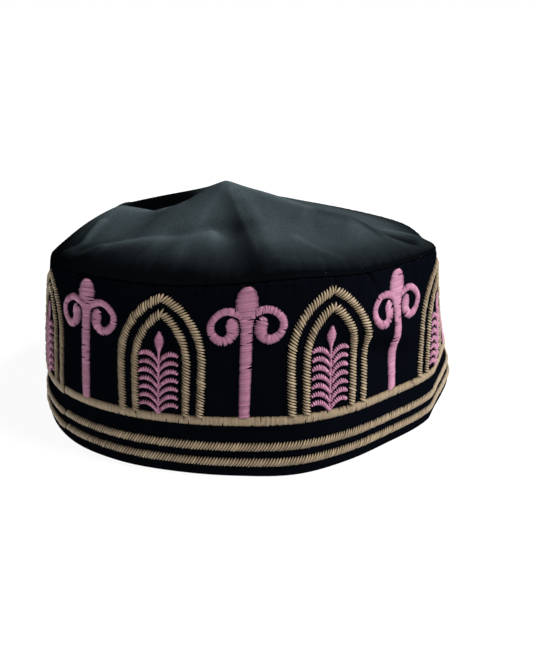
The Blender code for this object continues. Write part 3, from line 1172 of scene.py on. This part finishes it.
# from the stem outwards: how far across, how high against the leaf's own height, how wide
LEAF = (
    (0.15, -3.3, 1.1), (1.3, -1.7, 1.6), (2.9, -0.3, 2.0), (4.7, 0.3, 2.1), (6.3, 0.1, 1.8),
    (7.5, -0.6, 1.1),
)
BUD = (
    (0.0, 48.3, 0.9), (0.0, 50.0, 2.0), (0.0, 51.5, 3.3), (0.0, 52.8, 3.7), (0.0, 54.1, 3.2),
    (0.0, 55.5, 1.9), (0.0, 56.6, 0.7),
)
SPRIG_STEM = ((0.0, FOOT, 0.9), (0.0, 37.0, 0.9), (0.0, 48.6, 0.9))
BUD_SLANT = 92.0
STEM_SLANT = 45.0


def on_every_sprig(shapes):
    """The same threads in each of the arches."""
    threads = np.concatenate(shapes)
    return np.concatenate([moved(threads, FIRST_ARCH + PATTERN * repeat) for repeat in range(REPEATS)])


bud_and_stem = (satin_shape(BUD, DENSE, BUD_SLANT, short=0.0),
                satin_shape(SPRIG_STEM, DENSE, STEM_SLANT))
leaf_threads = []
for pair in range(LEAF_PAIRS):
    for side in (-1, 1):
        rows = np.array(LEAF) * (side, 1, 1) + (0, LEAF_TOP - LEAF_STEP * pair, 0)
        leaf_threads.append(satin_shape(rows, LEAF_PITCH, short=0.0))
buds = sewn(thread_points("buds", on_every_sprig(bud_and_stem), DENSE_THREAD), PINK_THREAD)
leaf_points = thread_points("leaves", on_every_sprig(leaf_threads), LEAF_THREAD)
leaves = sewn(leaf_points, PINK_THREAD, taper=LEAF_TAPER)

# %% [markdown]
# ## The seam
#
# The crown is sewn to the band from inside. From outside one sees a thin groove with short black
# stitches along it. They come from the same tree, sunk below the cloth's face, where a seam draws
# its thread in.

# %% Sew the seam
SEAM_STITCH = 1.5
SEAM_PITCH = 2.3
SEAM_THREAD = 0.26
SEAM_LIFT = -0.15
SEAM_BOW = 0.2

seam_count = round(PERIMETER / SEAM_PITCH)
seam_places = (np.arange(seam_count) + 0.5) * PERIMETER / seam_count - PERIMETER / 2
seam_path = np.column_stack((seam_places, np.full(seam_count, BAND_PATTERN_HEIGHT - EDGE_ROUND)))
seam_ends = np.stack((seam_path - (SEAM_STITCH / 2, 0.0), seam_path + (SEAM_STITCH / 2, 0.0)), axis=1)
seam_points = thread_points("seam_stitches", seam_ends, SEAM_THREAD, SEAM_LIFT)
seam_stitches = sewn(seam_points, BLACK_THREAD, bow=SEAM_BOW)

# %% [markdown]
# ## Joining the pieces to the frame
#
# The cap has one body, so every piece rides on it. The two fine cloths stand for the plain solids,
# which stay in the background for weight and collision.

for piece in (band, crown, top_stripe, low_stripes, arches, columns, buds, leaves, seam_stitches):
    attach(piece, "root")
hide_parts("band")
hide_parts("crown")

# %% [markdown]
# ## The table
#
# Shops often photograph goods on a white sheet lit from below, which leaves hardly a shadow. So the
# table glows by itself, and its own colour is a dark grey: the lamp then adds only a little to it,
# and where the cap keeps the lamp off, the sheet is hardly darker.

# %% Table
TABLE_SIZE = 60.0
TABLE_DROP = 0.0002
SHEET_GLOW = 0.94
SHEET_GREY = 0.10
SHEET_ROUGHNESS = 0.9

bpy.ops.mesh.primitive_plane_add(size=TABLE_SIZE, location=(0, 0, -TABLE_DROP))
table = bpy.context.object
table.name = "table"
sheet, _, sheet_shader = new_material("lit white sheet")
sheet_shader.inputs["Base Color"].default_value = (SHEET_GREY, SHEET_GREY, SHEET_GREY, 1)
sheet_shader.inputs["Roughness"].default_value = SHEET_ROUGHNESS
sheet_shader.inputs["Emission Color"].default_value = (1, 1, 1, 1)
sheet_shader.inputs["Emission Strength"].default_value = SHEET_GLOW
table.data.materials.append(sheet)
table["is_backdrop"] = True
print("the table is", TABLE_SIZE, "m wide")

# %% [markdown]
# ## The light
#
# One large lamp stands high on the right, a little towards the camera, and turns the arches and the
# crown's planes out of the black. The room is white to the camera but gives only a little light, so
# the folds stay dark.

# %% Light
ROOM_LIGHT = 0.11
LAMP_SIDE = 60.0
LAMP_HEIGHT = 50.0
LAMP_WIDTH = 22.0
LAMP_STRENGTH = 1.54

world = bpy.data.worlds.new("studio")
world.use_nodes = True
room = world.node_tree
ray = room.nodes.new("ShaderNodeLightPath")
seen = maths(room, "MULTIPLY_ADD", ray.outputs["Is Camera Ray"], 1.0 - ROOM_LIGHT, ROOM_LIGHT)
room.nodes["Background"].inputs["Color"].default_value = (1, 1, 1, 1)
room.links.new(seen, room.nodes["Background"].inputs["Strength"])
bpy.context.scene.world = world

side = np.radians(LAMP_SIDE)
high = np.radians(LAMP_HEIGHT)
to_lamp = Vector((np.sin(side) * np.cos(high), -np.cos(side) * np.cos(high), np.sin(high)))
lamp = bpy.data.lights.new("key", "SUN")
lamp.angle = np.radians(LAMP_WIDTH)
lamp.energy = LAMP_STRENGTH * np.pi
added("key", lamp).rotation_euler = to_lamp.to_track_quat("Z", "Y").to_euler()
bpy.context.scene.view_settings.view_transform = "Standard"
print("the lamp is", LAMP_HEIGHT, "degrees high and", LAMP_WIDTH, "degrees wide")

# %% [markdown]
# ## The camera
#
# The camera is close, a little above the cap and left of its front, as one looks down at a cap on a
# table. Its place and its three turns were worked out from how the oval's rim and seam look.

# %% Camera
CAMERA_PLACE = Vector((-114.05, -244.82, 137.41)) * MM
CAMERA_TURN = 25.857
CAMERA_DOWN = 23.20
CAMERA_ROLL = 1.048
CAMERA_LENS = 32.43
FILM_HEIGHT = 36.0

turn = np.radians(CAMERA_TURN)
down = np.radians(CAMERA_DOWN)
roll = np.radians(CAMERA_ROLL)
forward = Vector((np.sin(turn) * np.cos(down), np.cos(turn) * np.cos(down), -np.sin(down)))
level_right = Vector((np.cos(turn), -np.sin(turn), 0.0))
level_up = level_right.cross(forward)
right = level_right * np.cos(roll) + level_up * np.sin(roll)
up = level_up * np.cos(roll) - level_right * np.sin(roll)
camera = bpy.data.cameras.new("portrait")
camera.sensor_fit = "VERTICAL"
camera.sensor_height = FILM_HEIGHT
camera.lens = CAMERA_LENS
viewer = added("portrait", camera)
facing = Matrix((right, up, -forward)).transposed().to_4x4()
viewer.matrix_world = Matrix.Translation(CAMERA_PLACE) @ facing
bpy.context.scene.camera = viewer
print("the camera is", round(CAMERA_PLACE.length, 3), "m from the middle of the rim")

# %% [markdown]
# ## Sizes
#
# Last, the size of the dressed cap is printed beside that of the plain model, so that anyone can see
# how little the stitches add.

# %% Sizes and finish
worn_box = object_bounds()
sizes = {"cad": [list(side) for side in cad_box], "visual": [list(side) for side in worn_box]}
for name, (low, high) in sizes.items():
    print(name, [round((b - a) * 1000, 1) for a, b in zip(low, high)], "mm")
